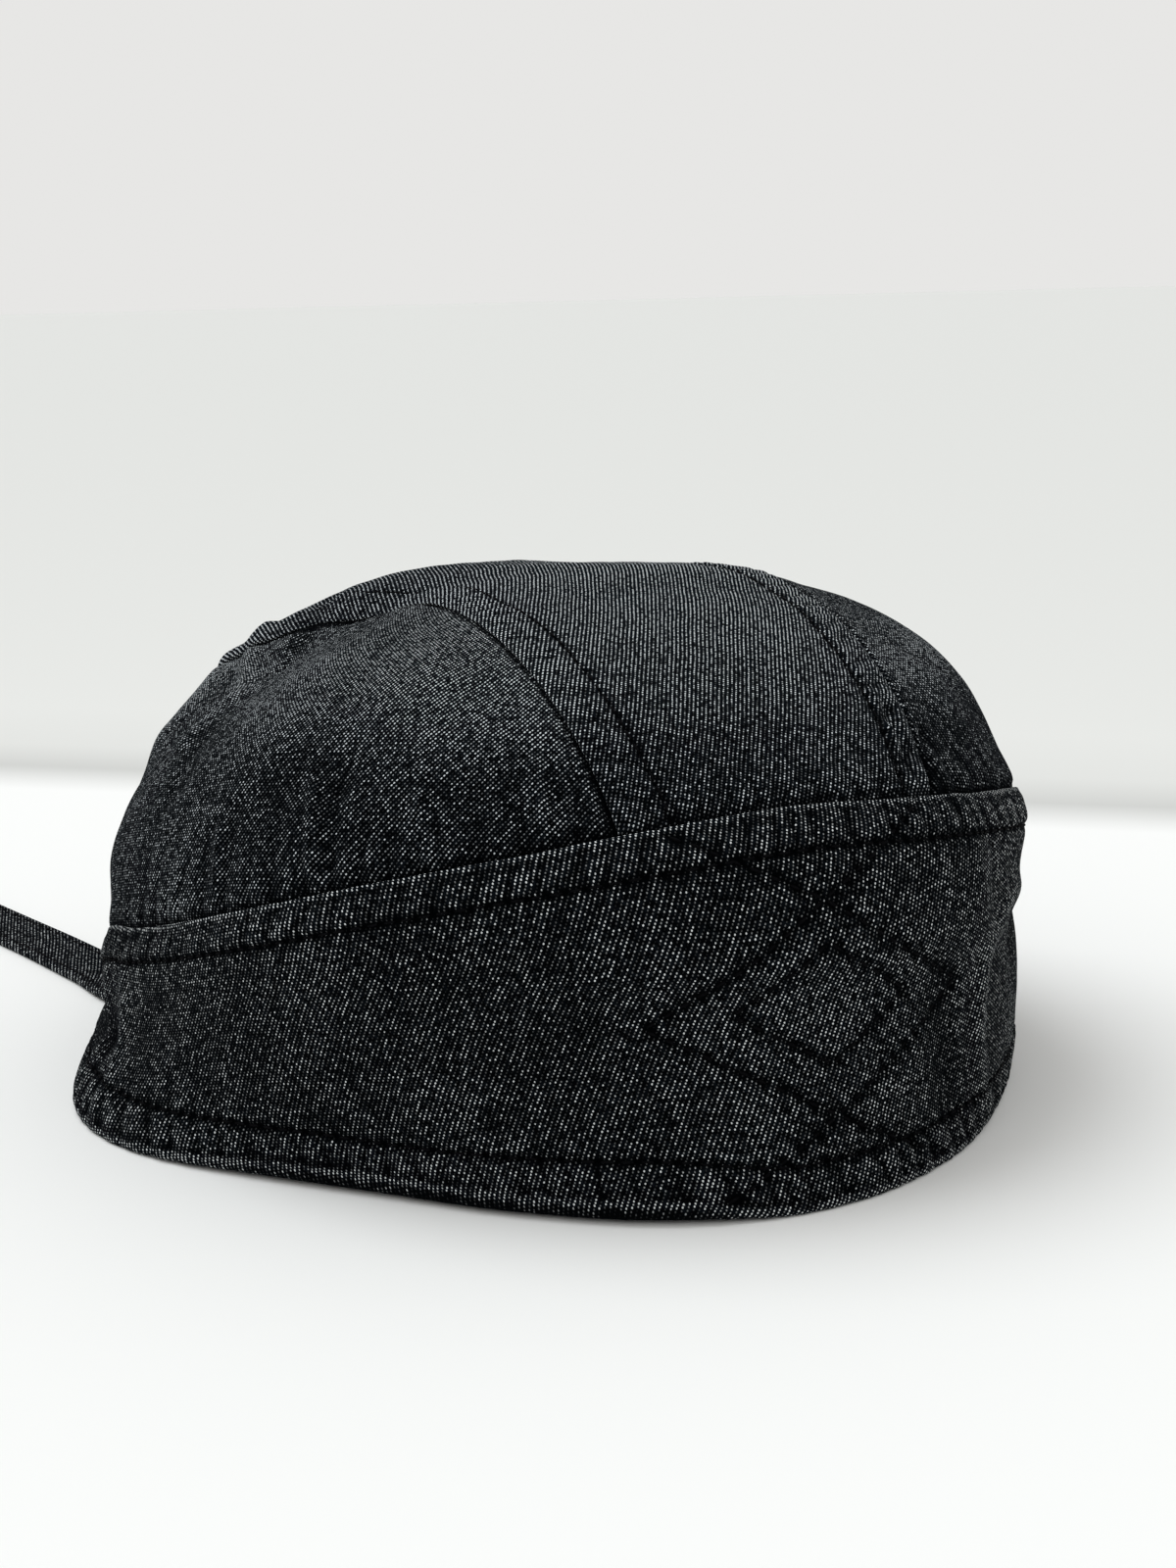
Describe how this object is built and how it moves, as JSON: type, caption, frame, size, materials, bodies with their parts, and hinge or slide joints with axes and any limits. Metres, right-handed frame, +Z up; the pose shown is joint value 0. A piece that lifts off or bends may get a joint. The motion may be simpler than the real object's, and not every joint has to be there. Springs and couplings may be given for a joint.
{
  "type": "chef bandana cap",
  "caption": "Soft denim cap with a deep forehead band, a panelled crown with a front-to-back centre strip, and flat ties at the back.",
  "frame": {"origin": "on the plane of the rim, where the cap stands on a surface, below the middle of the cap's box without its ties", "axes": "+Z up through the top of the crown, -Y to the front of the cap, -X to the wearer's right"},
  "size_m": [0.1907, 0.2991, 0.0962],
  "materials": {
    "band_denim": "black denim twill, doubled and topstitched, matt",
    "crown_denim": "black denim twill, one layer, matt",
    "tie_denim": "black denim twill, folded and sewn flat, matt"
  },
  "bodies": {
    "root": {"band": "band_denim", "crown_centre": "crown_denim", "crown_side_right": "crown_denim", "crown_side_left": "crown_denim", "tie_right": "tie_denim", "tie_left": "tie_denim"}
  },
  "joints": []
}
